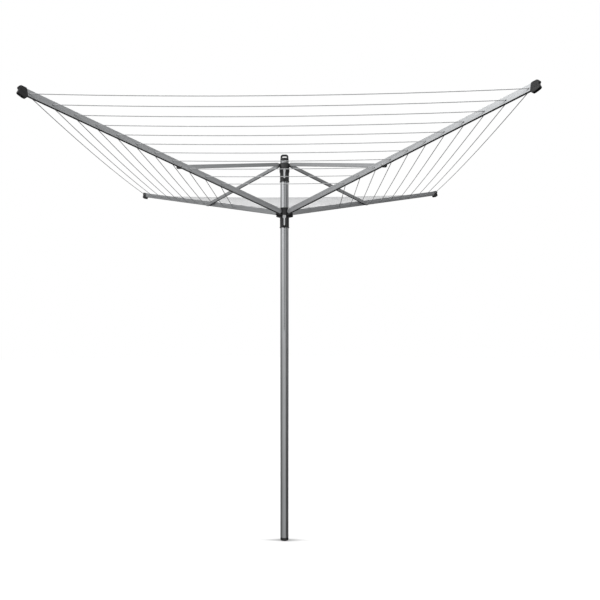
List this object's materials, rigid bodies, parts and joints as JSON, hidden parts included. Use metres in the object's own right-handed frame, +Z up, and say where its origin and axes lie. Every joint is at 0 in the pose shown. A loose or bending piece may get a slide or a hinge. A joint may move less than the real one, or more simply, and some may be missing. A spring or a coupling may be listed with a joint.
{
  "type": "rotary clothesline",
  "caption": "Folding rotary clothesline: perforated mast turning on a foot plug, sliding hubs, hinged arms on struts, and rounds of coated line between the arms.",
  "frame": {"origin": "centre of the underside of the foot plug, on the mast's axis", "axes": "+Z up the mast; the four open arms stand at 45, 135, 225 and 315 degrees from +X; the latch levers and latch holes face -Y"},
  "size_m": [2.1024, 2.1024, 2.1196],
  "materials": {
    "mast_aluminium": "satin extruded",
    "arm_aluminium": "satin extruded",
    "black_plastic": "moulded, slightly glossy",
    "bright_lever": "satin",
    "zinc_steel": "zinc plated",
    "spring_steel": "plain",
    "line_coating": "smooth coated cord"
  },
  "bodies": {
    "foot": {"foot_plug": "black_plastic"},
    "mast": {"mast_tube": "mast_aluminium", "mast_cap": "black_plastic"},
    "upper_hub": {"upper_hub": "black_plastic", "strut_hub_pins": "zinc_steel", "upper_lever_pin": "zinc_steel", "upper_lever_spring": "spring_steel"},
    "upper_lever": {"upper_lever": "bright_lever"},
    "lower_hub": {"lower_hub": "black_plastic", "arm_hub_pins": "zinc_steel", "lower_lever_pin": "zinc_steel", "lower_lever_spring": "spring_steel"},
    "lower_lever": {"lower_lever": "bright_lever"},
    "strut_1": {"strut_1": "arm_aluminium"},
    "arm_1": {"arm_tube_1": "arm_aluminium", "tip_cap_1": "black_plastic", "strut_pin_1": "zinc_steel", "strut_washer_1": "zinc_steel", "lines_1": "line_coating"},
    "strut_2": {"strut_2": "arm_aluminium"},
    "arm_2": {"arm_tube_2": "arm_aluminium", "tip_cap_2": "black_plastic", "strut_pin_2": "zinc_steel", "strut_washer_2": "zinc_steel", "lines_2": "line_coating"},
    "strut_3": {"strut_3": "arm_aluminium"},
    "arm_3": {"arm_tube_3": "arm_aluminium", "tip_cap_3": "black_plastic", "strut_pin_3": "zinc_steel", "strut_washer_3": "zinc_steel", "lines_3": "line_coating"},
    "strut_4": {"strut_4": "arm_aluminium"},
    "arm_4": {"arm_tube_4": "arm_aluminium", "tip_cap_4": "black_plastic", "strut_pin_4": "zinc_steel", "strut_washer_4": "zinc_steel", "lines_4": "line_coating"}
  },
  "joints": [
    {"name": "spin", "type": "hinge", "parent": "foot", "child": "mast", "pos_m": [0, 0, 0], "axis": [0, 0, 1], "continuous": true},
    {"name": "height_adjust", "type": "slide", "parent": "mast", "child": "upper_hub", "axis": [0, 0, 1], "range_m": [-0.585, 0]},
    {"name": "fold", "type": "hinge", "parent": "upper_hub", "child": "strut_1", "pos_m": [0.03804, 0.01853, 2.048], "axis": [-0.7071, 0.7071, 0], "range_deg": [0, 75.5], "deforming": ["lines_1", "lines_2", "lines_3", "lines_4"]},
    {"name": "strut_2_turn", "type": "hinge", "parent": "upper_hub", "child": "strut_2", "pos_m": [-0.03804, 0.01853, 2.048], "axis": [-0.7071, -0.7071, 0], "range_deg": [0, 75.6]},
    {"name": "strut_3_turn", "type": "hinge", "parent": "upper_hub", "child": "strut_3", "pos_m": [-0.03804, -0.01853, 2.048], "axis": [0.7071, -0.7071, 0], "range_deg": [0, 75.6]},
    {"name": "strut_4_turn", "type": "hinge", "parent": "upper_hub", "child": "strut_4", "pos_m": [0.03804, -0.01853, 2.048], "axis": [0.7071, 0.7071, 0], "range_deg": [0, 75.6]},
    {"name": "arm_1_turn", "type": "hinge", "parent": "strut_1", "child": "arm_1", "pos_m": [0.49855, 0.47903, 1.92206], "axis": [-0.7071, 0.7071, 0], "range_deg": [-151.2, 0]},
    {"name": "arm_2_turn", "type": "hinge", "parent": "strut_2", "child": "arm_2", "pos_m": [-0.49855, 0.47903, 1.92206], "axis": [-0.7071, -0.7071, 0], "range_deg": [-151.2, 0]},
    {"name": "arm_3_turn", "type": "hinge", "parent": "strut_3", "child": "arm_3", "pos_m": [-0.49855, -0.47903, 1.92206], "axis": [0.7071, -0.7071, 0], "range_deg": [-151.2, 0]},
    {"name": "arm_4_turn", "type": "hinge", "parent": "strut_4", "child": "arm_4", "pos_m": [0.49855, -0.47903, 1.92206], "axis": [0.7071, 0.7071, 0], "range_deg": [-151.2, 0]},
    {"name": "lower_hub_turn", "type": "hinge", "parent": "arm_1", "child": "lower_hub", "pos_m": [0.02828, 0.02828, 1.79612], "axis": [-0.7071, 0.7071, 0], "range_deg": [0, 75.6]},
    {"name": "upper_lever_press", "type": "hinge", "parent": "upper_hub", "child": "upper_lever", "pos_m": [0, -0.0295, 1.998], "axis": [-1, 0, 0], "range_deg": [0, 8], "stiffness_Nm_per_rad": 0.8, "springref_deg": -8.59, "deforming": ["upper_lever_spring"]},
    {"name": "lower_lever_press", "type": "hinge", "parent": "lower_hub", "child": "lower_lever", "pos_m": [0, -0.0295, 1.743], "axis": [-1, 0, 0], "range_deg": [0, 8], "stiffness_Nm_per_rad": 0.8, "springref_deg": -8.59, "deforming": ["lower_lever_spring"]}
  ],
  "couplings": [
    {"joint": "strut_2_turn", "follows": "fold", "ratio": 1},
    {"joint": "strut_3_turn", "follows": "fold", "ratio": 1},
    {"joint": "strut_4_turn", "follows": "fold", "ratio": 1},
    {"joint": "arm_1_turn", "follows": "fold", "ratio": -2},
    {"joint": "arm_2_turn", "follows": "fold", "ratio": -2},
    {"joint": "arm_3_turn", "follows": "fold", "ratio": -2},
    {"joint": "arm_4_turn", "follows": "fold", "ratio": -2},
    {"joint": "lower_hub_turn", "follows": "fold", "ratio": 1}
  ]
}
